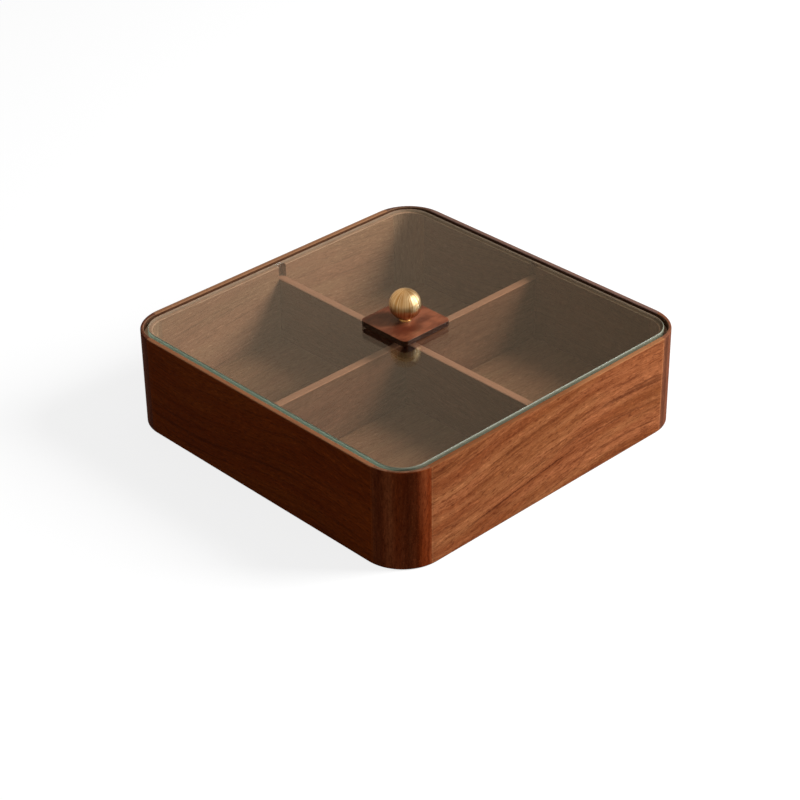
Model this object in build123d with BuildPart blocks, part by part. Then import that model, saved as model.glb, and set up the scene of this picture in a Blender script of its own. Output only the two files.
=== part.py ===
from build123d import *
import os
from math import cos, radians, sin, sqrt

# Dried fruit box: four side panels and four rounded corner posts round a base panel, two crossing
# dividers that drop into grooves, and a loose glass lid with a ball knob. Millimetres, +Z up.
# The origin is the middle of the footprint, on the surface that the box stands on.

# Walls: one ring with a rebate and a groove, which is then divided into panels and posts
box_side = 260.0              # outer width, the same both ways
rim_height = 70.0             # top of the rim above the table
wall_thickness = 9.5
corner_radius = 29.0          # outer radius
outer_curve_lead = 4.0        # the outer curves start this far before the inner ones and the joints
rim_width = 3.8               # wood left outside the rebate that takes the glass
rebate_depth = 5.0            # ledge below the rim
rim_round = 0.8               # rounding of both rim edges
ledge_round = 0.5             # rounding of the ledge's inner edge
underside_round = 0.6         # rounding of the walls' lower edges

# Foot pads: thin clear discs stuck under the corner posts
foot_radius = 3.0
foot_thickness = 0.5
foot_chamfer = 0.15

# Base panel: floats in a groove that runs round all the walls
base_thickness = 5.0
base_rise = 4.2               # underside of the base above the walls' lower edge
base_groove_depth = 3.0
base_float = 0.5              # room for the panel to swell, at the bottom of its groove

# Loose tongues: two in each corner post, one for each panel that meets it
tongue_thickness = 3.0
tongue_reach = 4.0            # how far a tongue goes into the post, and into the panel
tongue_cover = 2.5            # wood between the outer face and the tongue's slot
tongue_top_gap = 12.0         # end of the slot below the rim
tongue_fit = 0.1              # glue room round a tongue
tongue_chamfer = 0.4

# Dividers: two boards that cross with a slot each, half way up
divider_thickness = 6.0
divider_drop = 14.0           # top edge below the rim
divider_groove_depth = 4.0    # grooves in the panels, open at the ledge
divider_fit = 0.2             # room beside a board in its groove
divider_end_gap = 0.3         # room at each end of a board
lap_fit = 0.15                # room beside and below a board in the other one's slot
divider_round = 0.8
lap_share = 0.5               # height of the lower board's slot end, as a share of the board

# Glass lid: lies on the ledge, level with the rim
glass_thickness = 5.0
glass_gap = 2.7               # between the glass and the rebate's wall
glass_arris = 0.5             # ground edge
glass_hole_radius = 4.0

# Knob: a ball on a short neck, over a square plate and a thin pad
pad_radius = 15.0
pad_thickness = 0.5
plate_side = 42.0
plate_thickness = 3.8
plate_corner_radius = 4.0
plate_round = 0.3
knob_radius = 10.5
knob_lift = 1.0               # lowest point of the ball's round above the plate
neck_radius = 3.5
neck_foot_radius = 4.2        # collar at the foot of the neck
neck_foot_height = 0.7
bore_spare = 1.0              # depth of the knob's bore past the screw's end

# Screw from below, with a washer, a soft gasket and a sleeve in the glass
screw_radius = 2.0
screw_length = 18.0           # under the head
screw_hole_fit = 0.15         # room round the screw in washers, sleeve and plate
thread_fit = 0.05             # room round the screw in the knob's bore
screw_tip_chamfer = 0.4
head_radius = 4.0
head_height = 2.2
head_round = 0.9
socket_across_flats = 2.5
socket_depth = 1.3
washer_radius = 6.0
washer_thickness = 0.8
gasket_thickness = 0.8
sleeve_fit = 0.1              # room between the sleeve and the glass, and at its ends

# Small overrun that carries a cut past the face where it leaves the wood
cut_overrun = 1.0

# Places worked out from the sizes above
half_side = box_side / 2
post_reach = corner_radius - outer_curve_lead
joint_place = half_side - post_reach
inner_half = half_side - wall_thickness
inner_radius = post_reach - wall_thickness
rebate_half = half_side - rim_width
rebate_radius = post_reach - rim_width
wall_bottom = foot_thickness
wall_height = rim_height - wall_bottom
ledge_height = rim_height - rebate_depth
slot_height = wall_height - tongue_top_gap
base_bottom = wall_bottom + base_rise
floor_height = base_bottom + base_thickness
divider_top = rim_height - divider_drop
divider_height = divider_top - floor_height
glass_bottom = ledge_height
glass_top = glass_bottom + glass_thickness
plate_bottom = glass_top + pad_thickness
plate_top = plate_bottom + plate_thickness
knob_centre = plate_top + knob_lift + knob_radius
gasket_bottom = glass_bottom - gasket_thickness
washer_bottom = gasket_bottom - washer_thickness
screw_hole_radius = screw_radius + screw_hole_fit

# The four walls, each by the direction it faces, in degrees counter-clockwise from +X
wall_angles = {
    "front_left": 180,
    "front_right": -90,
    "back_right": 0,
    "back_left": 90,
}

# Each corner post by the direction of the wall before it, going counter-clockwise
post_angles = {
    "front": 180,
    "right": -90,
    "back": 0,
    "left": 90,
}


# Helpers
def outward(angle):
    """Unit vector that a wall faces."""
    return Vector(cos(radians(angle)), sin(radians(angle)), 0)


def along(angle):
    """Unit vector along a wall, counter-clockwise round the box."""
    return outward(angle + 90)


def level_plane(angle, height):
    """Level plane at a height: local x points outward and local y along the wall."""
    return Plane(origin=(0, 0, height), x_dir=outward(angle), z_dir=(0, 0, 1))


def wall_ring():
    """The whole ring of walls, with the rebate for the glass and the base panel's groove."""
    with BuildPart() as walls:
        with BuildSketch(Plane.XY.offset(wall_bottom)):
            RectangleRounded(box_side, box_side, corner_radius)
            RectangleRounded(2 * inner_half, 2 * inner_half, inner_radius, mode=Mode.SUBTRACT)
        extrude(amount=ledge_height - wall_bottom)
        fillet(walls.edges().group_by(Axis.Z)[0], underside_round)
        ledge = walls.faces().sort_by(Axis.Z)[-1]
        fillet(ledge.inner_wires()[0].edges(), ledge_round)
        with BuildSketch(Plane.XY.offset(ledge_height)):
            RectangleRounded(box_side, box_side, corner_radius)
            RectangleRounded(2 * rebate_half, 2 * rebate_half, rebate_radius, mode=Mode.SUBTRACT)
        extrude(amount=rebate_depth)
        fillet(walls.edges().group_by(Axis.Z)[-1], rim_round)
        with BuildSketch(Plane.XY.offset(base_bottom)):
            RectangleRounded(
                2 * (inner_half + base_groove_depth),
                2 * (inner_half + base_groove_depth),
                inner_radius + base_groove_depth,
            )
        extrude(amount=base_thickness, mode=Mode.SUBTRACT)
    return walls.part


def tongue_slots(angle, shifts):
    """Sketch of the loose tongues' slots in a wall's lower edge, one across each joint."""
    slot_middle = half_side - tongue_cover - tongue_fit - tongue_thickness / 2
    with BuildSketch(level_plane(angle, wall_bottom)) as slots:
        with Locations([(slot_middle, shift) for shift in shifts]):
            Rectangle(tongue_thickness + 2 * tongue_fit, 2 * (tongue_reach + tongue_fit))
    return slots.sketch


def finish_piece(piece, name):
    """Label a piece and write it under its own name."""
    piece.part.label = name
    export_step(piece.part, f"parts/{name}.step")


os.makedirs("parts", exist_ok=True)

walls = wall_ring()

# Side panels: the ring between two posts, with grooves for the dividers and the loose tongues
for wall, angle in wall_angles.items():
    with BuildPart() as side_panel:
        add(walls)
        with BuildSketch(level_plane(angle, 0)):
            Rectangle(half_side + cut_overrun, 2 * joint_place, align=(Align.MIN, Align.CENTER))
        extrude(amount=rim_height + cut_overrun, mode=Mode.INTERSECT)
        with BuildSketch(level_plane(angle, floor_height)):
            with Locations((inner_half - cut_overrun, 0)):
                Rectangle(
                    divider_groove_depth + cut_overrun,
                    divider_thickness + 2 * divider_fit,
                    align=(Align.MIN, Align.CENTER),
                )
        extrude(amount=ledge_height - floor_height, mode=Mode.SUBTRACT)
        joint_slots = tongue_slots(angle, [-joint_place, joint_place])
        extrude(joint_slots, amount=slot_height, mode=Mode.SUBTRACT)
    finish_piece(side_panel, f"{wall}_panel")

# Corner posts: what the ring has beyond the joints at each corner
for corner, angle in post_angles.items():
    with BuildPart() as corner_post:
        add(walls)
        with BuildSketch(level_plane(angle, 0)):
            with Locations((joint_place, joint_place)):
                Rectangle(
                    post_reach + cut_overrun,
                    post_reach + cut_overrun,
                    align=(Align.MIN, Align.MIN),
                )
        extrude(amount=rim_height + cut_overrun, mode=Mode.INTERSECT)
        extrude(tongue_slots(angle, [joint_place]), amount=slot_height, mode=Mode.SUBTRACT)
        extrude(tongue_slots(angle + 90, [-joint_place]), amount=slot_height, mode=Mode.SUBTRACT)
    finish_piece(corner_post, f"{corner}_corner_post")

# Loose tongues: one across each joint between a panel and a post
with BuildPart() as corner_tongues:
    for angle in wall_angles.values():
        with BuildSketch(level_plane(angle, wall_bottom + tongue_fit)):
            with Locations(
                [
                    (half_side - tongue_cover - tongue_fit, -joint_place),
                    (half_side - tongue_cover - tongue_fit, joint_place),
                ]
            ):
                Rectangle(tongue_thickness, 2 * tongue_reach, align=(Align.MAX, Align.CENTER))
        extrude(amount=slot_height - 2 * tongue_fit)
    chamfer(corner_tongues.edges().group_by(Axis.Z)[-1], tongue_chamfer)
finish_piece(corner_tongues, "corner_tongues")

# Base panel: fills the groove in height and leaves room to swell at its edges
base_margin = base_groove_depth - base_float
with BuildPart() as base_panel:
    with BuildSketch(Plane.XY.offset(base_bottom)):
        RectangleRounded(
            2 * (inner_half + base_margin),
            2 * (inner_half + base_margin),
            inner_radius + base_margin,
        )
    extrude(amount=base_thickness)
finish_piece(base_panel, "base_panel")

# Dividers: the lower board has its slot in the top edge, the upper board in its lower edge
divider_length = 2 * (inner_half + divider_groove_depth - divider_end_gap)
lap_height = floor_height + divider_height * lap_share
slot_width = divider_thickness + 2 * lap_fit

with BuildPart() as lower_divider:
    with BuildSketch(Plane.XY.offset(floor_height)):
        Rectangle(divider_length, divider_thickness)
    extrude(amount=divider_height)
    fillet(lower_divider.edges().filter_by(Axis.X).group_by(Axis.Z)[-1], divider_round)
    with BuildSketch(Plane.XY.offset(lap_height - lap_fit)):
        Rectangle(slot_width, divider_thickness + 2 * cut_overrun)
    extrude(amount=divider_top - lap_height + lap_fit + cut_overrun, mode=Mode.SUBTRACT)
finish_piece(lower_divider, "lower_divider")

with BuildPart() as upper_divider:
    with BuildSketch(Plane.XY.offset(floor_height)):
        Rectangle(divider_thickness, divider_length)
    extrude(amount=divider_height)
    fillet(upper_divider.edges().filter_by(Axis.Y).group_by(Axis.Z)[-1], divider_round)
    with BuildSketch(Plane.XY.offset(floor_height - cut_overrun)):
        Rectangle(divider_thickness + 2 * cut_overrun, slot_width)
    extrude(amount=lap_height + lap_fit - floor_height + cut_overrun, mode=Mode.SUBTRACT)
finish_piece(upper_divider, "upper_divider")

# Foot pads: under the middle of each post's curve
outer_curve_middle = half_side - corner_radius + corner_radius / sqrt(2)
inner_curve_middle = joint_place + inner_radius / sqrt(2)
foot_place = (outer_curve_middle + inner_curve_middle) / 2
for corner, angle in post_angles.items():
    foot_centre = (outward(angle) + along(angle)) * foot_place
    with BuildPart() as foot_pad:
        with BuildSketch(Plane(origin=foot_centre)):
            Circle(foot_radius)
        extrude(amount=foot_thickness)
        chamfer(foot_pad.edges().group_by(Axis.Z)[0], foot_chamfer)
    finish_piece(foot_pad, f"{corner}_foot_pad")

# Glass panel: ground edges all round and one hole for the knob's screw
glass_side = 2 * (rebate_half - glass_gap)
glass_corner_radius = rebate_radius - glass_gap
with BuildPart() as glass_panel:
    with BuildSketch(Plane.XY.offset(glass_bottom)):
        RectangleRounded(glass_side, glass_side, glass_corner_radius)
    extrude(amount=glass_thickness)
    chamfer(glass_panel.faces().sort_by(Axis.Z)[0].edges(), glass_arris)
    chamfer(glass_panel.faces().sort_by(Axis.Z)[-1].edges(), glass_arris)
    with BuildSketch(Plane.XY.offset(glass_bottom)):
        Circle(glass_hole_radius)
    extrude(amount=glass_thickness, mode=Mode.SUBTRACT)
finish_piece(glass_panel, "glass_panel")


def ring(bottom, thickness, outer_radius, hole_radius):
    """Flat ring round the screw: a washer, a gasket, a pad or a sleeve."""
    with BuildPart() as flat_ring:
        with BuildSketch(Plane.XY.offset(bottom)):
            Circle(outer_radius)
            Circle(hole_radius, mode=Mode.SUBTRACT)
        extrude(amount=thickness)
    return flat_ring


# Soft and metal rings between the screw's head, the glass and the plate
screw_washer = ring(washer_bottom, washer_thickness, washer_radius, screw_hole_radius)
finish_piece(screw_washer, "screw_washer")

lower_gasket = ring(gasket_bottom, gasket_thickness, washer_radius, screw_hole_radius)
finish_piece(lower_gasket, "lower_gasket")

hole_sleeve = ring(
    glass_bottom + sleeve_fit,
    glass_thickness - 2 * sleeve_fit,
    glass_hole_radius - sleeve_fit,
    screw_hole_radius,
)
finish_piece(hole_sleeve, "hole_sleeve")

upper_gasket = ring(glass_top, pad_thickness, pad_radius, screw_hole_radius)
finish_piece(upper_gasket, "upper_gasket")

# Knob plate: square with rounded corners
with BuildPart() as knob_plate:
    with BuildSketch(Plane.XY.offset(plate_bottom)):
        RectangleRounded(plate_side, plate_side, plate_corner_radius)
    extrude(amount=plate_thickness)
    fillet(knob_plate.faces().sort_by(Axis.Z)[-1].edges(), plate_round)
    with Locations((0, 0, plate_top)):
        Hole(screw_hole_radius)
finish_piece(knob_plate, "knob_plate")

# Ball knob: turned in one with its neck, with a blind bore for the screw
neck_meets_ball = knob_centre - sqrt(knob_radius**2 - neck_radius**2)
screw_end = washer_bottom + screw_length
with BuildPart() as ball_knob:
    with BuildSketch(Plane.XZ):
        with BuildLine():
            Polyline(
                (0, knob_centre + knob_radius),
                (0, plate_top),
                (neck_foot_radius, plate_top),
                (neck_foot_radius, plate_top + neck_foot_height),
                (neck_radius, plate_top + neck_foot_height),
                (neck_radius, neck_meets_ball),
            )
            ThreePointArc(
                (neck_radius, neck_meets_ball),
                (knob_radius, knob_centre),
                (0, knob_centre + knob_radius),
            )
        make_face()
    revolve(axis=Axis.Z)
    with BuildSketch(Plane.XY.offset(plate_top)):
        Circle(screw_radius + thread_fit)
    extrude(amount=screw_end + bore_spare - plate_top, mode=Mode.SUBTRACT)
finish_piece(ball_knob, "ball_knob")

# Knob screw: pan head with a hexagon socket
with BuildPart() as knob_screw:
    with BuildSketch(Plane.XY.offset(washer_bottom - head_height)):
        Circle(head_radius)
    extrude(amount=head_height)
    fillet(knob_screw.edges().group_by(Axis.Z)[0], head_round)
    with BuildSketch(Plane.XY.offset(washer_bottom)):
        Circle(screw_radius)
    extrude(amount=screw_length)
    chamfer(knob_screw.edges().group_by(Axis.Z)[-1], screw_tip_chamfer)
    with BuildSketch(Plane.XY.offset(washer_bottom - head_height)):
        RegularPolygon(socket_across_flats / 2, side_count=6, major_radius=False)
    extrude(amount=socket_depth, mode=Mode.SUBTRACT)
finish_piece(knob_screw, "knob_screw")
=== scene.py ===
import math

import bpy
from mathutils import Matrix, Vector


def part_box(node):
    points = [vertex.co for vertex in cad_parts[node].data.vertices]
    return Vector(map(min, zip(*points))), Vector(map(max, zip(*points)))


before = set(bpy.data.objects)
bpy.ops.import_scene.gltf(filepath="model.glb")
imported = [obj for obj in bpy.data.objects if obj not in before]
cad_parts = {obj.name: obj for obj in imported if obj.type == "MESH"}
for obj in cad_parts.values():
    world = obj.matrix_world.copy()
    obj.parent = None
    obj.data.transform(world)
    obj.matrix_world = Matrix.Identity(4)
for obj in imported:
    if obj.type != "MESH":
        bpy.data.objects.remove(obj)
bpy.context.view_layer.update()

# Places on the box that the materials need, in metres. All but the gap round the glass, which is
# the CAD model's, are read from the frame.
GLASS_GAP = 0.0027
JOINT_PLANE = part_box("front_right_panel")[1][0]
REBATE_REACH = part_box("glass_panel")[1][0] + GLASS_GAP - JOINT_PLANE
LEDGE_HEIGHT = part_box("glass_panel")[0][2]
GLASS_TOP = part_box("glass_panel")[1][2]
BALL_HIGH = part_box("ball_knob")[1]
BALL_RADIUS = BALL_HIGH[0]
BALL_CENTRE_HEIGHT = BALL_HIGH[2] - BALL_RADIUS

# Camera, fitted to the photograph's outlines
CAMERA_TARGET = Vector((0.0, 0.0, 0.035))
CAMERA_BACK = Vector((-0.59368, -0.61766, 0.51581)).normalized()
CAMERA_DISTANCE = 1.43060
CAMERA_ROLL = math.radians(-0.647)
CAMERA_LENS = 98.2535
CAMERA_SHIFT = (-0.0074, -0.0355)
CAMERA_CLIP = (0.05, 50.0)
SENSOR_WIDTH = 36.0

# Studio: a lamp on the right, and round the box a faint fill that is brightest on the same side
KEY_TARGET = Vector((0.0, 0.0, 0.04))
KEY_DIRECTION = Vector((0.59, -0.565, 0.574)).normalized()
KEY_DISTANCE = 1.6
KEY_SIZE = (0.55, 0.9)
KEY_POWER = 38.0
FILL_DIRECTION = Vector((0.75, -0.60, 0.30)).normalized()
FILL_LOW = 0.09
FILL_HIGH = 0.31
WHITE = (1.0, 1.0, 1.0, 1.0)

# Floor: how far it reaches in metres, the light that it throws back, its glow for the camera, the
# share of it that takes shadow there, and its tone in a mirror
FLOOR_REACH = 6.0
FLOOR_BOUNCE = 0.16
FLOOR_GLOW = 0.82
FLOOR_SHADOW_SHARE = 0.25
FLOOR_IN_GLOSS = (0.36, 0.29, 0.22, 1.0)

# What gloss, brass and glass mirror: a warm room, lighter at the back left, with a dark doorway at
# the back right and one tall window on the right. Heights are sines of the elevation.
ROOM_TONE = (0.56, 0.42, 0.29, 1.0)
ROOM_LIT = (0.76, 0.57, 0.39, 1.0)
ROOM_LIT_FROM = math.radians(40)
ROOM_LIT_FULL = math.radians(64)
ROOM_LIT_END = math.radians(150)
DOORWAY_TONE = (0.34, 0.24, 0.15, 1.0)
DOORWAY_AZIMUTH = math.radians(33)
DOORWAY_HALF_WIDTH = math.radians(20)
DOORWAY_CORE_HALF_WIDTH = math.radians(2)
DOORWAY_TOP = 0.57
WINDOW_LIGHT = (3.70, 3.70, 3.60, 1.0)
WINDOW_AZIMUTH = math.radians(-42.5)
WINDOW_HALF_WIDTH = math.radians(25.5)
WINDOW_HEIGHT = 0.19
WINDOW_HALF_HEIGHT = 0.56
WINDOW_SOFT = 0.10

# A ray's count of bounces is above this from the first bounce on
BOUNCED = 0.5

AXES = {"X": 0, "Y": 1, "Z": 2}


def tone(red, green, blue):
    """The linear colour for an 8-bit sRGB one."""
    channels = []
    for value in (red, green, blue):
        share = value / 255
        channels.append(share / 12.92 if share <= 0.04045 else ((share + 0.055) / 1.055) ** 2.4)
    return (*channels, 1.0)


class Graph:
    """Writes one node tree as calls. A value is a number, a tuple or another node's output."""

    def __init__(self, tree):
        self.tree = tree
        tree.nodes.clear()

    def node(self, kind, values, **settings):
        made = self.tree.nodes.new(kind)
        for name, value in settings.items():
            setattr(made, name, value)
        for key, value in values.items():
            self.feed(made.inputs[key], value)
        return made

    def feed(self, socket, value):
        if isinstance(value, bpy.types.NodeSocket):
            self.tree.links.new(value, socket)
        else:
            socket.default_value = value

    def shader(self, kind, values):
        return self.node(kind, values).outputs[0]

    def mix_shaders(self, share, first, second):
        return self.shader("ShaderNodeMixShader", {0: share, 1: first, 2: second})

    def output(self, shader):
        self.node("ShaderNodeOutputMaterial", {"Surface": shader})

    def math(self, operation, *values):
        made = self.node("ShaderNodeMath", dict(enumerate(values)), operation=operation)
        return made.outputs[0]

    def product(self, value, *others):
        for other in others:
            value = self.math("MULTIPLY", value, other)
        return value

    def away(self, value, place):
        """How far a value is from a place, on either side."""
        return self.math("ABSOLUTE", self.math("SUBTRACT", value, place))

    def mask(self, value, low, high):
        """0 where value is low, 1 where it is high, smooth between. Low may be the larger one."""
        values = {"Value": value, "From Min": low, "From Max": high, "To Min": 0.0, "To Max": 1.0}
        made = self.node("ShaderNodeMapRange", values, interpolation_type="SMOOTHSTEP")
        return made.outputs[0]

    def spread(self, value, low, high):
        """A value between 0 and 1 as one between low and high."""
        values = {"Value": value, "From Min": 0.0, "From Max": 1.0, "To Min": low, "To Max": high}
        return self.node("ShaderNodeMapRange", values).outputs[0]

    def mix(self, share, first, second, blend="MIX"):
        values = {0: share, 6: first, 7: second}
        return self.node("ShaderNodeMix", values, data_type="RGBA", blend_type=blend).outputs[2]

    def mix_value(self, share, first, second):
        return self.node("ShaderNodeMix", {0: share, 2: first, 3: second}).outputs[0]

    def laid(self, colour, layer, value, tint, blend="MIX"):
        """The colour with a layer of tint on it. The layer says where value starts and ends to bring
        it in, and how much it covers at most."""
        low, high, cover = layer
        return self.mix(self.product(self.mask(value, low, high), cover), colour, tint, blend)

    def vector(self, *parts):
        return self.node("ShaderNodeCombineXYZ", dict(enumerate(parts))).outputs[0]

    def parts(self, vector):
        made = self.node("ShaderNodeSeparateXYZ", {0: vector})
        return list(made.outputs)

    def vector_math(self, operation, vector, other, output="Vector"):
        made = self.node("ShaderNodeVectorMath", {0: vector, 1: other}, operation=operation)
        return made.outputs[output]

    def scaled(self, vector, scales):
        return self.vector_math("MULTIPLY", vector, scales)

    def noise(self, vector, pattern):
        """Noise by its pattern: its scales per metre, its detail and its roughness."""
        scales, detail, roughness = pattern
        values = {
            "Vector": self.scaled(vector, scales),
            "Scale": 1.0,
            "Detail": detail,
            "Roughness": roughness,
        }
        return self.node("ShaderNodeTexNoise", values).outputs["Fac"]

    def noises(self, vector, patterns):
        return {name: self.noise(vector, pattern) for name, pattern in patterns.items()}

    def bump(self, height, strength, distance):
        values = {"Strength": strength, "Distance": distance, "Height": height}
        return self.node("ShaderNodeBump", values).outputs[0]

    def coordinates(self):
        return self.node("ShaderNodeTexCoord", {}).outputs["Object"]

    def place(self, axis):
        return self.parts(self.coordinates())[AXES[axis]]

    def normal(self, axis):
        normal = self.node("ShaderNodeTexCoord", {}).outputs["Normal"]
        return self.parts(normal)[AXES[axis]]

    def facing(self, axis):
        """How squarely a face looks along an axis, either way."""
        return self.math("ABSOLUTE", self.normal(axis))


def new_material(name):
    material = bpy.data.materials.new(name)
    material.use_nodes = True
    return material, Graph(material.node_tree)


def principled(graph, values):
    return graph.shader("ShaderNodeBsdfPrincipled", values)


# Noise of the wood, with scales along the grain, across it and in depth. Sway and fray bend the
# grain by their reach in metres, and the rest shows in its colour and surface. A board's seed
# moves its noise by so many times the seed shift.
SWAY = ((9.0, 12.0, 12.0), 1.0, 0.5)
SWAY_REACH = 0.006
FRAY = ((240.0, 420.0, 420.0), 2.0, 0.7)
FRAY_REACH = 0.0009
WOOD_PATTERNS = {
    "drift": ((16.0, 70.0, 70.0), 2.0, 0.5),
    "bands": ((6.0, 105.0, 105.0), 2.0, 0.55),
    "streaks": ((42.0, 560.0, 560.0), 4.0, 0.68),
    "veins": ((10.0, 300.0, 150.0), 5.0, 0.66),
    "rays": ((34.0, 460.0, 460.0), 3.0, 0.66),
    "flecks": ((190.0, 760.0, 760.0), 2.0, 0.65),
    "fibres": ((260.0, 1900.0, 1900.0), 2.0, 0.6),
    "speckle": ((800.0, 1100.0, 1100.0), 2.0, 0.7),
    "pores": ((230.0, 2600.0, 2600.0), 1.0, 0.5),
}
SEED_SHIFT = (0.731, 0.417, 0.293)

# Where a noise starts and ends to show, and for a layer also how much it covers at most
BAND_SPAN = (0.36, 0.66)
DRIFT_LAYER = (0.40, 0.64, 0.8)
STREAK_LAYER = (0.46, 0.70, 0.70)
VEIN_SPAN = (0.56, 0.68)
RAY_SPAN = (0.55, 0.70)
FLECK_LAYER = (0.54, 0.72, 0.72)
LIGHT_FLECK_LAYER = (0.46, 0.28, 0.90)
FIBRE_LAYER = (0.45, 0.75, 0.40)
SPECKLE_LAYER = (0.50, 0.72, 0.30)
PORE_SPAN = (0.60, 0.70)
PORE_SHARE = 0.50
DRIFT_TINT = (1.00, 1.13, 1.10)
FLECK_TINT = (1.44, 1.50, 1.56)

# Surface of the wood: its gloss, the strength and depth in metres of its bumps, and the relief of
# its fibres as a share of that of its pores
WOOD_ROUGHNESS = (0.42, 0.68)
WOOD_GLOSS_TINT = (1.0, 0.72, 0.5, 1.0)
WOOD_BUMP = (0.4, 0.00015)
FIBRE_RELIEF = 0.5

# A wave of the grain across a board: reach, length and the place of its crest, in metres
STRAIGHT = (0.0, 1.0, 0.0)
FRONT_RIGHT_WAVE = (0.0086, 0.36, 0.050)
FRONT_LEFT_WAVE = (0.0075, 0.27, -0.055)
BACK_LEFT_WAVE = (0.0050, 0.40, 0.020)
BACK_RIGHT_WAVE = (0.0060, 0.33, -0.060)
DIVIDER_WAVE = (0.0030, 0.45, 0.030)

# Single dark veins: level across the grain, two ends and half the width in metres, and how much
# each covers. A vein is at its darkest in the core shares of its half width and half length.
FRONT_RIGHT_VEINS = [
    (0.0173, -0.082, 0.032, 0.0009, 0.80),
    (0.0359, 0.036, 0.112, 0.0022, 0.60),
    (0.0208, 0.012, 0.112, 0.0008, 0.50),
    (0.0059, 0.030, 0.112, 0.0009, 0.45),
]
FRONT_LEFT_VEINS = [
    (0.0236, -0.058, 0.118, 0.0016, 0.45),
    (0.0300, -0.110, 0.020, 0.0012, 0.30),
]
# On the front post these dark veins are made broad and deep to darken the part of its curve that turns
# away from the lamp: dark veins and painted shade
FRONT_POST_SHADE_VEINS = [
    (-0.1165, -0.065, 0.135, 0.0068, 0.62),
    (-0.1288, -0.065, 0.135, 0.0016, 0.45),
]
RIGHT_POST_VEINS = [
    (0.1085, -0.065, 0.135, 0.0028, 0.50),
]
VEIN_CORE_WIDTH = 0.25
VEIN_CORE_LENGTH = 0.55

# Tones of the wood, each as pale, middle, dark and deep
BOARD_TONES = (tone(170, 102, 63), tone(139, 75, 41), tone(100, 44, 21), tone(70, 27, 12))
# Painted shade: a darker, redder copy of the board tones for the front-left board, whose outer face
# looks away from the lamp
PAINTED_SHADE_TONES = (tone(150, 66, 18), tone(136, 55, 12), tone(104, 38, 7), tone(66, 22, 4))
# Inner faces: the back-left wall's tones are paler, painted light where the lamp reaches it through the
# glass, and the back-right wall's darker and greyer, painted shade on the side the lamp misses
BACK_LEFT_INSIDE_LIT = (tone(166, 121, 93), tone(154, 110, 84), tone(134, 93, 71), tone(108, 75, 57))
BACK_RIGHT_INSIDE_SHADED = (tone(126, 87, 70), tone(114, 78, 63), tone(94, 63, 51), tone(71, 48, 38))
FRONT_INSIDE = (tone(128, 88, 66), tone(116, 78, 58), tone(94, 62, 45), tone(72, 46, 33))
BACK_POST_TONES = (tone(138, 78, 52), tone(118, 61, 41), tone(90, 42, 26), tone(58, 25, 14))
RIGHT_POST_TONES = (tone(124, 72, 50), tone(106, 56, 40), tone(80, 38, 25), tone(52, 23, 14))
FRONT_POST_TONES = (tone(158, 80, 44), tone(134, 54, 20), tone(96, 32, 7), tone(52, 12, 1))
# Painted shade: the left post's tones are darker and redder, as it stands on the side away from the
# lamp
LEFT_POST_SHADED_TONES = (tone(112, 44, 18), tone(96, 34, 13), tone(74, 24, 8), tone(46, 14, 4))
POST_INSIDE = (tone(158, 122, 95), tone(143, 108, 85), tone(120, 88, 69), tone(93, 67, 53))
DIVIDER_TONES = (tone(122, 81, 60), tone(110, 71, 52), tone(90, 56, 40), tone(68, 42, 30))
BASE_TONES = (tone(150, 108, 80), tone(136, 95, 70), tone(112, 76, 54), tone(88, 58, 41))
TONGUE_TONES = (tone(190, 146, 104), tone(176, 128, 86), tone(146, 98, 62), tone(110, 70, 44))
PLATE_TONES = (tone(142, 80, 54), tone(98, 47, 30), tone(74, 32, 20), tone(46, 18, 11))

# Tops of the boards: their tones, which are painted light and painted sheen, so that faces that look
# up, the dividers' tops too, stand off from the sides; how far up a face looks where a top starts and
# ends to show, the streaks on it, and where along a board its tone changes to that of its far end, in
# metres
TOP_LEFT = tone(146, 98, 68)
TOP_RIGHT = tone(124, 76, 46)
TOP_RIGHT_FAR = tone(154, 104, 68)
TOP_BACK_LEFT = tone(148, 106, 76)
TOP_BACK_RIGHT = tone(112, 88, 80)
TOP_LOWER_DIVIDER = tone(176, 126, 98)
TOP_UPPER_DIVIDER = tone(184, 132, 104)
TOP_LAYER = (0.25, 0.65, 0.90)
TOP_STREAK_LAYER = (0.45, 0.75, 0.6)
TOP_STREAK_TINT = (0.74, 0.68, 0.64, 1.0)
TOP_CHANGE = (-0.005, 0.045)

# Rebate for the glass: how far past its wall the inner tones end and start to fade, painted light on
# the pale ledge under the glass, and painted shade on the wall above it in the gap
INSIDE_FADE = (0.0014, 0.0004)
PAINTED_LEDGE_LIGHT = tone(202, 162, 134)
LEDGE_ROUND = 0.0005
LEDGE_UP = (0.35, 0.65)
LEDGE_STREAK_SPAN = (0.45, 0.70)
PAINTED_REBATE_SHADE = tone(58, 28, 13)
REBATE_SHADE_UP = (0.65, 0.35)
REBATE_SHADE_SHARE = 0.8

# End grain on the posts' tops: how squarely a face cuts the grain, and its dots and arcs
POST_ENDS = {
    "left": tone(104, 62, 44),
    "front": tone(134, 92, 68),
    "right": tone(126, 80, 58),
    "back": tone(100, 70, 58),
}
END_SPAN = (0.55, 0.9)
END_DOTS = ((1500.0, 1500.0, 1500.0), 2.0, 0.5)
END_DOT_LAYER = (0.52, 0.68, 0.5)
END_ARCS = ((90.0, 420.0, 90.0), 2.0, 0.5)
END_ARC_LAYER = (0.4, 0.7, 0.5)

# The painted highlight at the end of a panel where it meets a post, in a tone for a lit board and one
# for a shaded board: its distance from the joint and half its width in metres, the part of that half
# where it is palest, the span of its patches, how much of it shows between them, and how far up a face
# looks where it ends and starts to fade
END_HIGHLIGHT_LIT = tone(204, 142, 96)
END_HIGHLIGHT_SHADED = tone(176, 100, 62)
END_HIGHLIGHT_AWAY = 0.0008
END_HIGHLIGHT_HALF = 0.0007
END_HIGHLIGHT_CORE = 0.2
END_HIGHLIGHT_PATCHES = (0.40, 0.60)
END_HIGHLIGHT_LEAST = 0.45
END_HIGHLIGHT_UP = (0.6, 0.3)


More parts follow.
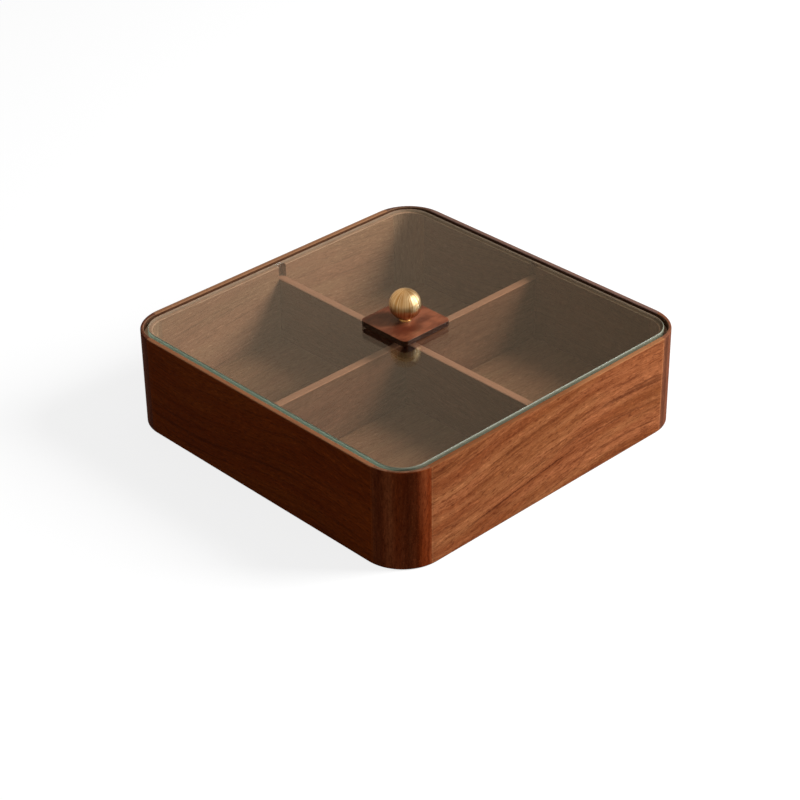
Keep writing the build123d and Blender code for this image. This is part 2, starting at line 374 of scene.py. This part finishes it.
def wood_point(graph, grain, seed, wave):
    """Place in the board with the grain's wave and sway in it, then the place along the board and
    the level across its grain."""
    place = graph.parts(graph.coordinates())
    along, across, depth = (place[AXES[axis]] for axis in grain)
    straight = graph.vector(along, across, depth)
    sway = graph.spread(graph.noise(straight, SWAY), -SWAY_REACH, SWAY_REACH)
    fray = graph.spread(graph.noise(straight, FRAY), -FRAY_REACH, FRAY_REACH)
    reach, length, crest = wave
    phase = graph.product(graph.math("SUBTRACT", along, crest), math.tau / length)
    lean = graph.product(graph.math("COSINE", phase), -reach)
    bent = graph.math("ADD", graph.math("ADD", across, sway), graph.math("ADD", lean, fray))
    shift = [seed * part for part in SEED_SHIFT]
    point = graph.vector_math("ADD", graph.vector(along, bent, depth), shift)
    level = graph.math("ADD", graph.math("ADD", across, lean), fray)
    return point, along, level


def vein_line(graph, along, level, vein):
    """1 on one dark vein: its level across the grain, its two ends, and half its width."""
    at, start, end, half_width = vein
    middle = (start + end) / 2
    half_length = (end - start) / 2
    width = graph.mask(graph.away(level, at), half_width, half_width * VEIN_CORE_WIDTH)
    length = graph.mask(graph.away(along, middle), half_length, half_length * VEIN_CORE_LENGTH)
    return graph.product(width, length)


def inner_faces(graph):
    """1 on the faces inside the rim, 0 on the outer faces of the walls."""
    squares = []
    for axis in "XY":
        past_joint = graph.math("SUBTRACT", graph.math("ABSOLUTE", graph.place(axis)), JOINT_PLANE)
        beyond = graph.math("MAXIMUM", past_joint, 0.0)
        squares.append(graph.product(beyond, beyond))
    reach = graph.math("SQRT", graph.math("ADD", *squares))
    return graph.mask(reach, *(REBATE_REACH + fade for fade in INSIDE_FADE))


def veined(graph, colour, deep, along, level, veins):
    """The colour with single dark veins, each by its course and how much it covers."""
    for *course, cover in veins:
        line = graph.product(vein_line(graph, along, level, course), cover)
        colour = graph.mix(line, colour, deep)
    return colour


def painted_top_tones(graph, colour, looks_up, streaks, top):
    """Painted light and sheen on the faces that look up: the top's tone, streaked."""
    streaked = graph.laid(top, TOP_STREAK_LAYER, streaks, TOP_STREAK_TINT, "MULTIPLY")
    return graph.laid(colour, TOP_LAYER, looks_up, streaked)


def end_grain(graph, colour, axis, ends, deep):
    """Fine dark dots and faint arcs, as on a sawn end, where a face cuts across the grain."""
    noise = graph.noises(graph.coordinates(), {"arcs": END_ARCS, "dots": END_DOTS})
    sawn = graph.laid(ends, END_ARC_LAYER, noise["arcs"], deep)
    sawn = graph.laid(sawn, END_DOT_LAYER, noise["dots"], deep)
    return graph.mix(graph.mask(graph.facing(axis), *END_SPAN), colour, sawn)


def rebate_light_and_shade(graph, colour, within, looks_up, streaks):
    """Painted light on the pale ledge under the glass, and painted shade on the wall above it in the
    gap.
    """
    height = graph.place("Z")
    at_ledge = graph.mask(graph.away(height, LEDGE_HEIGHT), 2 * LEDGE_ROUND, LEDGE_ROUND)
    level = graph.product(at_ledge, within, graph.mask(looks_up, *LEDGE_UP))
    shown = graph.mask(streaks, *LEDGE_STREAK_SPAN)
    ledge_light = graph.mix(shown, PAINTED_LEDGE_LIGHT, TOP_STREAK_TINT, "MULTIPLY")
    colour = graph.mix(level, colour, ledge_light)
    above = graph.mask(height, LEDGE_HEIGHT, LEDGE_HEIGHT + LEDGE_ROUND)
    wall_shade = graph.product(above, within, graph.mask(looks_up, *REBATE_SHADE_UP), REBATE_SHADE_SHARE)
    return graph.mix(wall_shade, colour, PAINTED_REBATE_SHADE)


def painted_end_highlight(graph, colour, looks_up, flecks, end):
    """A painted highlight, a pale, patchy line across a board: its axis and place, how much it covers,
    and its tone.
    """
    axis, place, cover, highlight_tone = end
    away = graph.away(graph.place(axis), place)
    line = graph.mask(away, END_HIGHLIGHT_HALF, END_HIGHLIGHT_HALF * END_HIGHLIGHT_CORE)
    patchy = graph.spread(graph.mask(flecks, *END_HIGHLIGHT_PATCHES), cover * END_HIGHLIGHT_LEAST, cover)
    return graph.mix(graph.product(line, patchy, graph.mask(looks_up, *END_HIGHLIGHT_UP)), colour, highlight_tone)


def oiled(graph, colour, streaks, fibres, pores, shine):
    """The oiled surface, duller on streaks and fibres, with its pores sunk in."""
    height = graph.math("SUBTRACT", graph.product(fibres, FIBRE_RELIEF), pores)
    average = graph.product(graph.math("ADD", streaks, fibres), 0.5)
    values = {
        "Base Color": colour,
        "Roughness": graph.spread(average, *WOOD_ROUGHNESS),
        "Specular IOR Level": shine,
        "Specular Tint": WOOD_GLOSS_TINT,
        "Normal": graph.bump(height, *WOOD_BUMP),
    }
    return principled(graph, values)


def wood(
    name,
    grain,
    seed,
    tones,
    wave=STRAIGHT,
    vein=0.8,
    rays=0.5,
    shine=0.12,
    veins=(),
    top=None,
    top_far=None,
    ends=None,
    inside=None,
    end_highlights=(),
):
    """Oiled hardwood. grain names the axes along, across and depth; tones are pale, middle, dark and
    deep. vein and rays say how much its broad veins and light rays cover, and shine how much it
    mirrors. veins lists the single dark veins that follow its grain. top is the tone of painted light
    and sheen on faces that look up, top_far that tone at the board's far end, ends the tone of its end
    grain, and inside the tones of faces inside the rim. end_highlights lists the painted highlights,
    pale lines at a board's ends."""
    material, graph = new_material(name)
    if inside is not None:
        within = inner_faces(graph)
        tones = [graph.mix(within, outer, inner) for outer, inner in zip(tones, inside)]
    pale, middle, dark, deep = tones
    point, along, level = wood_point(graph, grain, seed, wave)
    noise = graph.noises(point, WOOD_PATTERNS)
    pores = graph.mask(noise["pores"], *PORE_SPAN)

    colour = graph.mix(graph.mask(noise["bands"], *BAND_SPAN), pale, middle)
    colour = graph.laid(colour, DRIFT_LAYER, noise["drift"], graph.scaled(colour, DRIFT_TINT))
    colour = graph.laid(colour, STREAK_LAYER, noise["streaks"], dark)
    colour = graph.laid(colour, (*VEIN_SPAN, vein), noise["veins"], deep)
    colour = veined(graph, colour, deep, along, level, veins)
    colour = graph.laid(colour, (*RAY_SPAN, rays), noise["rays"], pale)
    colour = graph.laid(colour, FLECK_LAYER, noise["flecks"], dark)
    colour = graph.laid(colour, LIGHT_FLECK_LAYER, noise["flecks"], graph.scaled(colour, FLECK_TINT))
    colour = graph.laid(colour, FIBRE_LAYER, noise["fibres"], dark)
    colour = graph.laid(colour, SPECKLE_LAYER, noise["speckle"], pale)
    colour = graph.mix(graph.product(pores, PORE_SHARE), colour, deep)

    looks_up = graph.normal("Z")
    if top_far is not None:
        top = graph.mix(graph.mask(along, *TOP_CHANGE), top, top_far)
    if top is not None:
        colour = painted_top_tones(graph, colour, looks_up, noise["streaks"], top)
    if ends is not None:
        colour = end_grain(graph, colour, grain[0], ends, deep)
    if inside is not None:
        colour = rebate_light_and_shade(graph, colour, within, looks_up, noise["streaks"])
    for end in end_highlights:
        colour = painted_end_highlight(graph, colour, looks_up, noise["flecks"], end)
    graph.output(oiled(graph, colour, noise["streaks"], noise["fibres"], pores, shine))
    return material


# Knob plate: its noise, its layers, how far up or down a face looks where the dark sides start and
# are full, and its surface, with the relief of its streaks as a share of that of its pores
PLATE_SEED = 21.0
PLATE_PATTERNS = {
    "streaks": ((60.0, 420.0, 420.0), 3.0, 0.6),
    "blotches": ((55.0, 80.0, 80.0), 2.0, 0.55),
    "pores": ((320.0, 2600.0, 2600.0), 1.0, 0.5),
}
PLATE_BLOTCH_SPAN = (0.36, 0.62)
PLATE_STREAK_LAYER = (0.45, 0.75, 0.5)
PLATE_PORE_SHARE = 0.4
PLATE_EDGE = tone(46, 21, 9)
PLATE_SIDE_SPAN = (0.75, 0.35)
PLATE_ROUGHNESS = (0.24, 0.42)
PLATE_SHINE = 0.38
PLATE_GLOSS_TINT = (1.0, 0.8, 0.65, 1.0)
PLATE_BUMP = (0.3, 0.0001)
PLATE_STREAK_RELIEF = 0.4


def plate_wood(name):
    """The knob's plate: a stained top, softly blotched, with nearly black edges."""
    material, graph = new_material(name)
    pale, middle, dark, deep = PLATE_TONES
    point, _, _ = wood_point(graph, "XYZ", PLATE_SEED, STRAIGHT)
    noise = graph.noises(point, PLATE_PATTERNS)
    pores = graph.mask(noise["pores"], *PORE_SPAN)
    colour = graph.mix(graph.mask(noise["blotches"], *PLATE_BLOTCH_SPAN), pale, middle)
    colour = graph.laid(colour, PLATE_STREAK_LAYER, noise["streaks"], dark)
    colour = graph.mix(graph.product(pores, PLATE_PORE_SHARE), colour, deep)
    side = graph.mask(graph.facing("Z"), *PLATE_SIDE_SPAN)
    height = graph.math("SUBTRACT", graph.product(noise["streaks"], PLATE_STREAK_RELIEF), pores)
    values = {
        "Base Color": graph.mix(side, colour, PLATE_EDGE),
        "Roughness": graph.spread(noise["streaks"], *PLATE_ROUGHNESS),
        "Specular IOR Level": PLATE_SHINE,
        "Specular Tint": PLATE_GLOSS_TINT,
        "Normal": graph.bump(height, *PLATE_BUMP),
    }
    graph.output(principled(graph, values))
    return material


# Glass: noise of the smears on its faces and the frost on its edges, how far up or down a face looks
# where the edge and its arris start and are full, and how far below its top an edge starts and ends to
# turn darker with painted shade, in metres
SMEAR = ((30.0, 22.0, 30.0), 3.0, 0.6)
FROST = ((900.0, 900.0, 900.0), 2.0, 0.5)
EDGE_SPAN = (0.97, 0.90)
ARRIS_SPAN = (0.15, 0.45)
GLASS_FOOT_SHADE = (0.0008, 0.0017)

# Clear part of the glass
GLASS_IOR = 1.5
FACE_TONES = (tone(243, 246, 243), tone(248, 250, 248))
CLEAR_EDGE_TONES = (tone(120, 176, 158), tone(160, 205, 188))
CLEAR_EDGE_ROUGHNESS = 0.12

# Matt part of its edges: the share of an edge, of its arris and of an edge seen from within, how
# much of it glows with light from behind, and its tones
EDGE_SHARE = 0.72
ARRIS_SHARE = 0.55
WITHIN_SHARE = 0.55
GLOW_SHARE = 0.5
GROUND_ROUGHNESS = 0.35
SIDE_TONES = (tone(190, 190, 166), tone(208, 208, 186))
# Darker tone near an edge's foot: painted shade
SIDE_FOOT_SHADE = tone(172, 168, 142)
ARRIS_TONES = (tone(206, 210, 186), tone(220, 224, 202))
WITHIN_TONES = (tone(214, 184, 158), tone(232, 204, 178))
GLOW_TONE = tone(174, 208, 188)
# Darker glow near an edge's foot: painted shade
GLOW_FOOT_SHADE = tone(136, 162, 142)
GLOW_WITHIN = tone(180, 158, 136)

# Light that passes a face and an edge on its way from a lamp
FACE_SHADE = (0.89, 0.88, 0.855, 1.0)
EDGE_SHADE = (0.20, 0.22, 0.20, 1.0)


def clear_glass(graph, edge, frost):
    """Clear faces, slightly smeared, and green edges."""
    face_tone = graph.mix(graph.noise(graph.coordinates(), SMEAR), *FACE_TONES)
    values = {
        "Base Color": graph.mix(edge, face_tone, graph.mix(frost, *CLEAR_EDGE_TONES)),
        "Roughness": graph.spread(edge, 0.0, CLEAR_EDGE_ROUGHNESS),
        "IOR": GLASS_IOR,
        "Transmission Weight": 1.0,
    }
    return principled(graph, values)


def ground_glass(graph, arris, frost, from_within):
    """Matt edges that glow with light from behind, with painted shade near their foot where they sit in
    the rim's gap.
    """
    foot = graph.mask(graph.place("Z"), *(GLASS_TOP - drop for drop in GLASS_FOOT_SHADE))
    side = graph.mix(foot, graph.mix(frost, *SIDE_TONES), SIDE_FOOT_SHADE)
    ground = graph.mix(arris, side, graph.mix(frost, *ARRIS_TONES))
    ground = graph.mix(from_within, ground, graph.mix(frost, *WITHIN_TONES))
    glow = graph.mix(from_within, graph.mix(foot, GLOW_TONE, GLOW_FOOT_SHADE), GLOW_WITHIN)
    matt = principled(graph, {"Base Color": ground, "Roughness": GROUND_ROUGHNESS})
    glowing = graph.shader("ShaderNodeBsdfTranslucent", {"Color": glow})
    return graph.mix_shaders(GLOW_SHARE, matt, glowing)


def glass(name):
    """Clear float glass, half matt at its edges. The light of a lamp passes it as a tinted pane."""
    material, graph = new_material(name)
    flat = graph.facing("Z")
    edge = graph.mask(flat, *EDGE_SPAN)
    arris = graph.product(edge, graph.mask(flat, *ARRIS_SPAN))
    frost = graph.noise(graph.coordinates(), FROST)
    from_within = graph.node("ShaderNodeNewGeometry", {}).outputs["Backfacing"]
    clear = clear_glass(graph, edge, frost)
    matt = ground_glass(graph, arris, frost, from_within)
    share = graph.mix_value(from_within, graph.spread(arris, EDGE_SHARE, ARRIS_SHARE), WITHIN_SHARE)
    body = graph.mix_shaders(graph.product(edge, share), clear, matt)
    shade = graph.mix(edge, FACE_SHADE, EDGE_SHADE)
    open_way = graph.shader("ShaderNodeBsdfTransparent", {"Color": shade})
    path = graph.node("ShaderNodeLightPath", {})
    graph.output(graph.mix_shaders(path.outputs["Is Shadow Ray"], body, open_way))
    return material


# Brass: brush marks, with scales per radian round the ball and per metre up it, and dull clouds
BRUSH_MARKS = ((11.0, 24.0, 1.0), 3.0, 0.62)
BRUSH_SPAN = (0.40, 0.60)
BRASS_TONES = (tone(248, 230, 190), tone(204, 164, 108))
DULL_CLOUDS = ((120.0, 120.0, 120.0), 3.0, 0.6)
DULL_LAYER = (0.45, 0.75, 0.3)
DULL_TONE = tone(204, 160, 104)
BRASS_ANISOTROPY = 0.6
BRASS_ROUGHNESS = (0.26, 0.42)
BRASS_BUMP = (0.12, 0.0001)


def brass(name):
    """Brass with fine brush marks that run from pole to pole of the ball."""
    material, graph = new_material(name)
    x, y, z = graph.parts(graph.coordinates())
    around = graph.math("ARCTAN2", y, x)
    rise = graph.math("SUBTRACT", z, BALL_CENTRE_HEIGHT)
    brush = graph.noise(graph.vector(around, rise, 0.0), BRUSH_MARKS)
    clouds = graph.noise(graph.coordinates(), DULL_CLOUDS)
    colour = graph.mix(graph.mask(brush, *BRUSH_SPAN), *BRASS_TONES)
    values = {
        "Base Color": graph.laid(colour, DULL_LAYER, clouds, DULL_TONE),
        "Metallic": 1.0,
        "Anisotropic": BRASS_ANISOTROPY,
        "Roughness": graph.spread(brush, *BRASS_ROUGHNESS),
        "Normal": graph.bump(brush, *BRASS_BUMP),
    }
    graph.output(principled(graph, values))
    return material


# Zinc-plated steel
ZINC_CLOUDS = ((300.0, 300.0, 300.0), 3.0, 0.6)
ZINC_LINES = ((2500.0, 2500.0, 300.0), 2.0, 0.5)
ZINC_TONES = (tone(176, 178, 180), tone(204, 204, 200))
ZINC_ROUGHNESS = (0.25, 0.45)
ZINC_BUMP = (0.15, 0.00005)


def steel(name):
    """Zinc-plated steel, slightly clouded."""
    material, graph = new_material(name)
    noise = graph.noises(graph.coordinates(), {"clouds": ZINC_CLOUDS, "lines": ZINC_LINES})
    values = {
        "Base Color": graph.mix(noise["clouds"], *ZINC_TONES),
        "Metallic": 1.0,
        "Roughness": graph.spread(noise["clouds"], *ZINC_ROUGHNESS),
        "Normal": graph.bump(noise["lines"], *ZINC_BUMP),
    }
    graph.output(principled(graph, values))
    return material


# Clear rubber and plastic: clouds and dust that all share, then the tones and roughness of each
SOFT_CLOUDS = ((260.0, 260.0, 260.0), 3.0, 0.6)
DUST = ((2400.0, 2400.0, 2400.0), 1.0, 0.5)
DUST_SPAN = (0.62, 0.7)
DUST_SHARE = 0.3
DUST_TONE = tone(120, 116, 108)
SOFT_ROUGHNESS_CHANGE = 0.08
SOFT_SHINE = 0.4
SOFT_BUMP = (0.2, 0.00005)
SILICONE_TONES = (tone(196, 194, 186), tone(168, 166, 158))
SILICONE_ROUGHNESS = 0.5
PLASTIC_TONES = (tone(222, 220, 212), tone(204, 200, 190))
PLASTIC_ROUGHNESS = 0.4
RUBBER_TONES = (tone(176, 174, 166), tone(150, 148, 140))
RUBBER_ROUGHNESS = 0.6


def soft_clear(name, tones, rough):
    """Milky clear rubber or plastic with a little dust in it."""
    material, graph = new_material(name)
    noise = graph.noises(graph.coordinates(), {"clouds": SOFT_CLOUDS, "dust": DUST})
    clouds = noise["clouds"]
    specks = graph.mask(noise["dust"], *DUST_SPAN)
    colour = graph.mix(clouds, *tones)
    values = {
        "Base Color": graph.mix(graph.product(specks, DUST_SHARE), colour, DUST_TONE),
        "Roughness": graph.spread(clouds, rough - SOFT_ROUGHNESS_CHANGE, rough + SOFT_ROUGHNESS_CHANGE),
        "Specular IOR Level": SOFT_SHINE,
        "Normal": graph.bump(specks, *SOFT_BUMP),
    }
    graph.output(principled(graph, values))
    return material


def dress(node, material):
    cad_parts[node].material_slots[0].material = material


def dress_panels():
    highlight_place = JOINT_PLANE - END_HIGHLIGHT_AWAY
    boards = {
        "front_left": dict(
            grain="YZX",
            seed=3.0,
            tones=PAINTED_SHADE_TONES,
            wave=FRONT_LEFT_WAVE,
            vein=0.6,
            rays=0.25,
            shine=0.04,
            veins=FRONT_LEFT_VEINS,
            top=TOP_LEFT,
            inside=FRONT_INSIDE,
            end_highlights=[("Y", -highlight_place, 0.3, END_HIGHLIGHT_SHADED)],
        ),
        "front_right": dict(
            grain="XZY",
            seed=5.0,
            tones=BOARD_TONES,
            wave=FRONT_RIGHT_WAVE,
            vein=0.6,
            shine=0.10,
            veins=FRONT_RIGHT_VEINS,
            top=TOP_RIGHT,
            top_far=TOP_RIGHT_FAR,
            inside=FRONT_INSIDE,
            end_highlights=[("X", -highlight_place, 0.16, END_HIGHLIGHT_LIT), ("X", highlight_place, 0.36, END_HIGHLIGHT_LIT)],
        ),
        "back_left": dict(
            grain="XZY",
            seed=8.0,
            tones=BOARD_TONES,
            wave=BACK_LEFT_WAVE,
            vein=0.6,
            top=TOP_BACK_LEFT,
            inside=BACK_LEFT_INSIDE_LIT,
        ),
        "back_right": dict(
            grain="YZX",
            seed=12.0,
            tones=BOARD_TONES,
            wave=BACK_RIGHT_WAVE,
            vein=0.7,
            top=TOP_BACK_RIGHT,
            inside=BACK_RIGHT_INSIDE_SHADED,
        ),
    }
    for side, look in boards.items():
        dress(side + "_panel", wood(side + "_wood", **look))


def dress_posts():
    posts = {
        "left": dict(seed=31.0, tones=LEFT_POST_SHADED_TONES, shine=0.05),
        "front": dict(seed=32.0, tones=FRONT_POST_TONES, shine=0.05, veins=FRONT_POST_SHADE_VEINS),
        "right": dict(seed=33.0, tones=RIGHT_POST_TONES, veins=RIGHT_POST_VEINS),
        "back": dict(seed=34.0, tones=BACK_POST_TONES),
    }
    shared = dict(grain="ZXY", vein=0.5, rays=0.3, inside=POST_INSIDE)
    for side, look in posts.items():
        dress(side + "_corner_post", wood(side + "_post_wood", ends=POST_ENDS[side], **shared, **look))


def dress_dividers():
    boards = {
        "lower": dict(grain="XZY", seed=61.0, top=TOP_LOWER_DIVIDER),
        "upper": dict(grain="YZX", seed=66.0, top=TOP_UPPER_DIVIDER),
    }
    shared = dict(tones=DIVIDER_TONES, wave=DIVIDER_WAVE, vein=0.4)
    for level, look in boards.items():
        dress(level + "_divider", wood(level + "_divider_wood", **shared, **look))


def dress_base_and_tongues():
    base = wood("base_wood", grain="XYZ", seed=51.0, tones=BASE_TONES, wave=DIVIDER_WAVE, vein=0.3)
    dress("base_panel", base)
    tongues = wood("tongue_wood", grain="ZXY", seed=41.0, tones=TONGUE_TONES)
    dress("corner_tongues", tongues)


def dress_feet():
    rubber = soft_clear("foot_rubber", RUBBER_TONES, RUBBER_ROUGHNESS)
    for side in ("left", "front", "right", "back"):
        dress(side + "_foot_pad", rubber)


def dress_lid():
    dress("glass_panel", glass("float_glass"))
    dress("knob_plate", plate_wood("plate_wood"))
    dress("ball_knob", brass("brushed_brass"))
    zinc = steel("zinc_steel")
    dress("knob_screw", zinc)
    dress("screw_washer", zinc)
    silicone = soft_clear("clear_silicone", SILICONE_TONES, SILICONE_ROUGHNESS)
    dress("upper_gasket", silicone)
    dress("lower_gasket", silicone)
    dress("hole_sleeve", soft_clear("natural_plastic", PLASTIC_TONES, PLASTIC_ROUGHNESS))


def make_camera():
    data = bpy.data.cameras.new("camera")
    data.lens = CAMERA_LENS
    data.sensor_width = SENSOR_WIDTH
    data.shift_x, data.shift_y = CAMERA_SHIFT
    data.clip_start, data.clip_end = CAMERA_CLIP
    camera = bpy.data.objects.new("camera", data)
    bpy.context.scene.collection.objects.link(camera)
    level = Vector((0, 0, 1)).cross(CAMERA_BACK).normalized()
    upward = CAMERA_BACK.cross(level)
    right = math.cos(CAMERA_ROLL) * level + math.sin(CAMERA_ROLL) * upward
    top = -math.sin(CAMERA_ROLL) * level + math.cos(CAMERA_ROLL) * upward
    turn = Matrix((right, top, CAMERA_BACK)).transposed().to_4x4()
    place = CAMERA_TARGET + CAMERA_DISTANCE * CAMERA_BACK
    camera.matrix_world = Matrix.Translation(place) @ turn
    bpy.context.scene.camera = camera


def make_key_light():
    """The lamp. No gloss or glass shows it, as they mirror the window instead."""
    data = bpy.data.lights.new("key", "AREA")
    data.shape = "RECTANGLE"
    data.size, data.size_y = KEY_SIZE
    data.energy = KEY_POWER
    light = bpy.data.objects.new("key", data)
    light.location = KEY_TARGET + KEY_DIRECTION * KEY_DISTANCE
    light.rotation_mode = "QUATERNION"
    light.rotation_quaternion = KEY_DIRECTION.to_track_quat("Z", "Y")
    light.visible_glossy = False
    light.visible_transmission = False
    bpy.context.scene.collection.objects.link(light)


def ray_shares(graph):
    """Which rays see the white background, and which see the studio as gloss mirrors it."""
    path = graph.node("ShaderNodeLightPath", {})
    through = path.outputs["Is Transmission Ray"]
    first = graph.math("LESS_THAN", path.outputs["Diffuse Depth"], BOUNCED)
    mirrored = graph.math("GREATER_THAN", path.outputs["Glossy Depth"], BOUNCED)
    mirrored_within = graph.product(through, mirrored)
    gloss = graph.math("MAXIMUM", path.outputs["Is Glossy Ray"], mirrored_within)
    white = graph.math("MAXIMUM", path.outputs["Is Camera Ray"], through)
    white = graph.math("SUBTRACT", white, mirrored_within)
    return graph.product(white, first), graph.product(gloss, first)


def softly_below(graph, value, limit):
    """1 where a value is below its limit, 0 where it is above, with a soft edge."""
    return graph.mask(value, limit + WINDOW_SOFT, limit - WINDOW_SOFT)


def mirrored_room(graph, direction):
    """The room that gloss mirrors, by direction."""
    x, y, z = graph.parts(direction)
    azimuth = graph.math("ARCTAN2", y, x)
    lit = graph.mask(azimuth, ROOM_LIT_FROM, ROOM_LIT_FULL)
    lit = graph.product(lit, graph.mask(azimuth, ROOM_LIT_END, ROOM_LIT_FULL))
    room = graph.mix(lit, ROOM_TONE, ROOM_LIT)
    aside = graph.away(azimuth, DOORWAY_AZIMUTH)
    doorway = graph.mask(aside, DOORWAY_HALF_WIDTH, DOORWAY_CORE_HALF_WIDTH)
    doorway = graph.product(doorway, softly_below(graph, z, DOORWAY_TOP))
    room = graph.mix(doorway, room, DOORWAY_TONE)
    window = graph.product(
        softly_below(graph, graph.away(azimuth, WINDOW_AZIMUTH), WINDOW_HALF_WIDTH),
        softly_below(graph, graph.away(z, WINDOW_HEIGHT), WINDOW_HALF_HEIGHT),
    )
    return graph.mix(window, room, WINDOW_LIGHT)


def make_world():
    world = bpy.data.worlds.new("studio")
    bpy.context.scene.world = world
    world.use_nodes = True
    graph = Graph(world.node_tree)
    direction = graph.node("ShaderNodeTexCoord", {}).outputs["Generated"]
    toward = graph.vector_math("DOT_PRODUCT", direction, FILL_DIRECTION, "Value")
    # From the range of -1 to 1 into that of 0 to 1
    toward = graph.math("MULTIPLY_ADD", toward, 0.5, 0.5)
    fill = graph.spread(toward, FILL_LOW, FILL_HIGH)
    white, gloss = ray_shares(graph)
    colour = graph.mix(gloss, graph.vector(fill, fill, fill), mirrored_room(graph, direction))
    colour = graph.mix(white, colour, WHITE)
    glow = graph.shader("ShaderNodeBackground", {"Color": colour, "Strength": 1.0})
    graph.node("ShaderNodeOutputWorld", {"Surface": glow})


def grey(level):
    return (level, level, level, 1.0)


def floor_material():
    """Nearly white for the camera, with a soft shadow, and dimmer for the rays that light the box."""
    material, graph = new_material("pale_floor")
    bounce = graph.shader("ShaderNodeBsdfDiffuse", {"Color": grey(FLOOR_BOUNCE)})
    shade = graph.shader("ShaderNodeBsdfDiffuse", {"Color": grey(FLOOR_SHADOW_SHARE)})
    glow = graph.shader("ShaderNodeEmission", {"Color": WHITE, "Strength": FLOOR_GLOW})
    shown = graph.shader("ShaderNodeAddShader", {0: shade, 1: glow})
    mirrored = graph.shader("ShaderNodeEmission", {"Color": FLOOR_IN_GLOSS, "Strength": 1.0})
    white, gloss = ray_shares(graph)
    plain = graph.mix_shaders(gloss, bounce, mirrored)
    graph.output(graph.mix_shaders(white, plain, shown))
    return material


def make_floor():
    mesh = bpy.data.meshes.new("floor")
    signs = [(-1, -1), (1, -1), (1, 1), (-1, 1)]
    corners = [(x * FLOOR_REACH, y * FLOOR_REACH, 0.0) for x, y in signs]
    mesh.from_pydata(corners, [], [(0, 1, 2, 3)])
    mesh.materials.append(floor_material())
    floor = bpy.data.objects.new("floor", mesh)
    bpy.context.scene.collection.objects.link(floor)


bpy.context.scene.view_settings.view_transform = "Standard"
make_camera()
make_world()
make_floor()
make_key_light()
dress_panels()
dress_posts()
dress_dividers()
dress_base_and_tongues()
dress_feet()
dress_lid()
